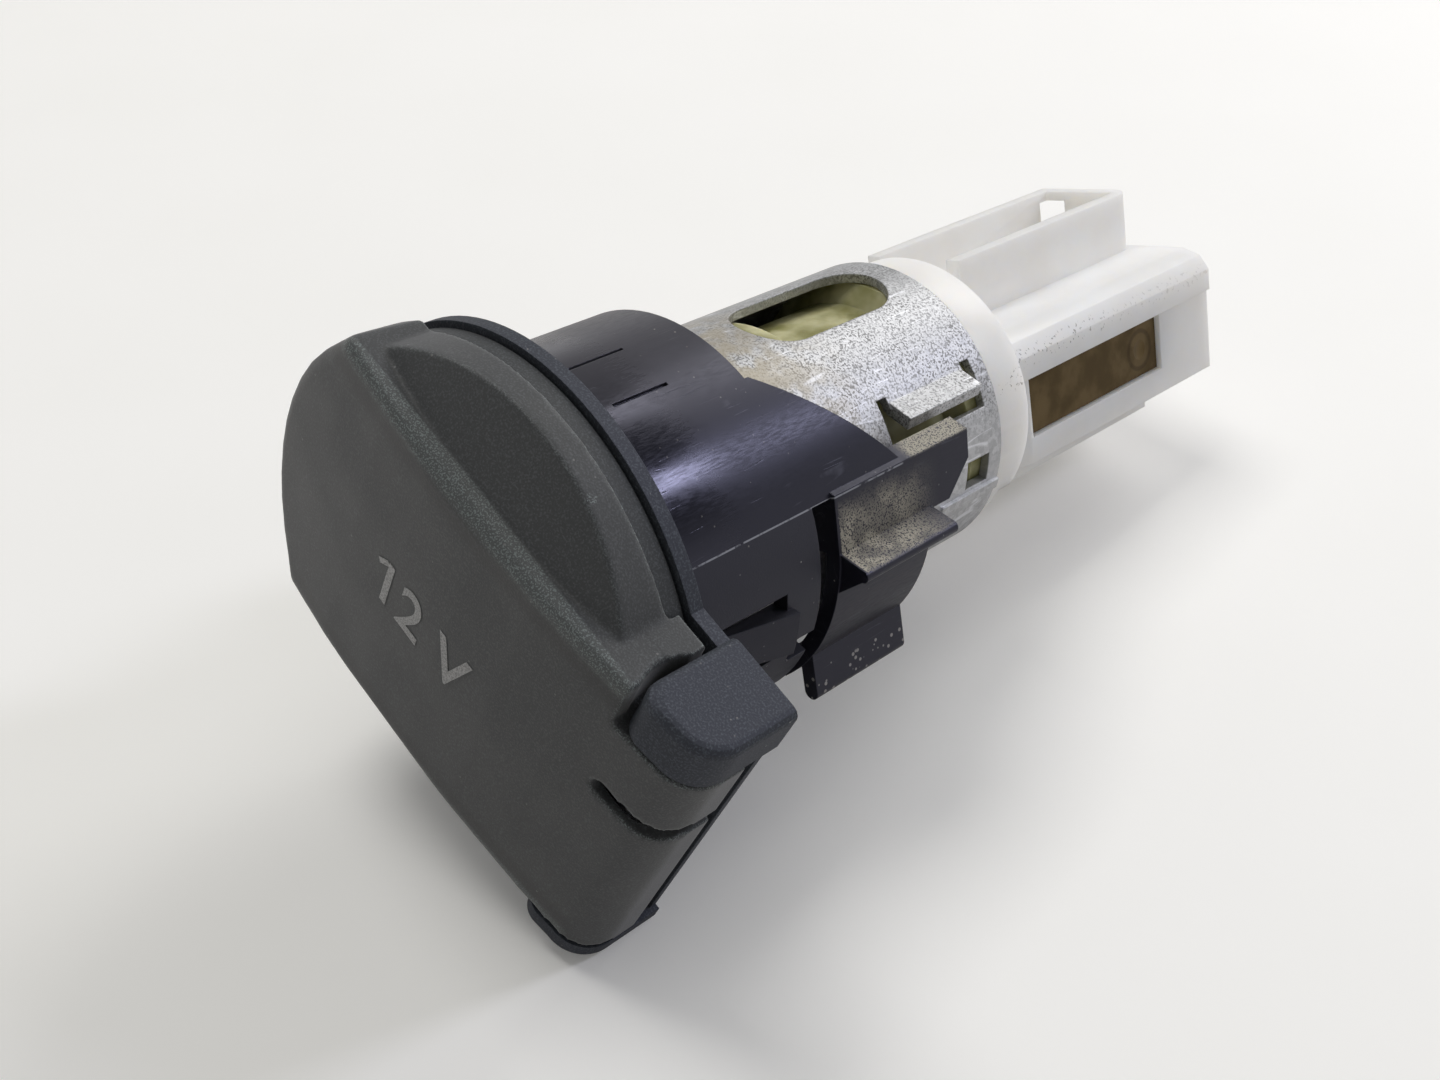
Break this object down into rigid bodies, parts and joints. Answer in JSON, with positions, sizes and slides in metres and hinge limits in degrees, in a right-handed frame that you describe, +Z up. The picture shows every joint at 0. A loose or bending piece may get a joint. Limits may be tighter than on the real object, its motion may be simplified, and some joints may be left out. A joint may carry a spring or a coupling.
{
  "type": "car 12v power socket",
  "caption": "Car power socket with a sprung hinged lid, steel barrel, clip-in sleeve and white rear connector.",
  "frame": {"origin": "on the socket's axis, in the rear face of the flange, which seats on the panel", "axes": "+Y runs to the rear along the socket's axis, +Z is up for the print on the lid, +X points to the hinge"},
  "size_m": [0.0382, 0.0781, 0.0346],
  "materials": {
    "black_gloss": "glossy black moulding",
    "soft_touch": "dark grey soft-touch paint, fine grain",
    "black_satin": "satin black moulding",
    "bright_steel": "bright steel",
    "spring_steel": "drawn spring wire",
    "zinc_steel": "zinc-plated sheet steel, mottled",
    "aged_nylon": "translucent aged nylon",
    "contact_brass": "stamped brass",
    "tinned_brass": "tinned brass",
    "white_nylon": "white nylon",
    "terminal_brass": "tarnished brass"
  },
  "bodies": {
    "socket": {"housing": "black_gloss", "hinge_pin": "bright_steel", "barrel": "zinc_steel", "contact_cup": "aged_nylon", "centre_contact": "contact_brass", "centre_rivet": "tinned_brass", "connector_body": "white_nylon", "centre_terminal": "terminal_brass", "earth_terminal": "terminal_brass"},
    "lid": {"lid_cover": "soft_touch", "lid_carrier": "black_satin", "lid_spring": "spring_steel"}
  },
  "joints": [
    {"name": "lid_hinge", "type": "hinge", "parent": "socket", "child": "lid", "pos_m": [0.0173, -0.0047, 0], "axis": [0, 0, 1], "range_deg": [0, 100], "stiffness_Nm_per_rad": 0.02, "springref_deg": -28.65}
  ]
}
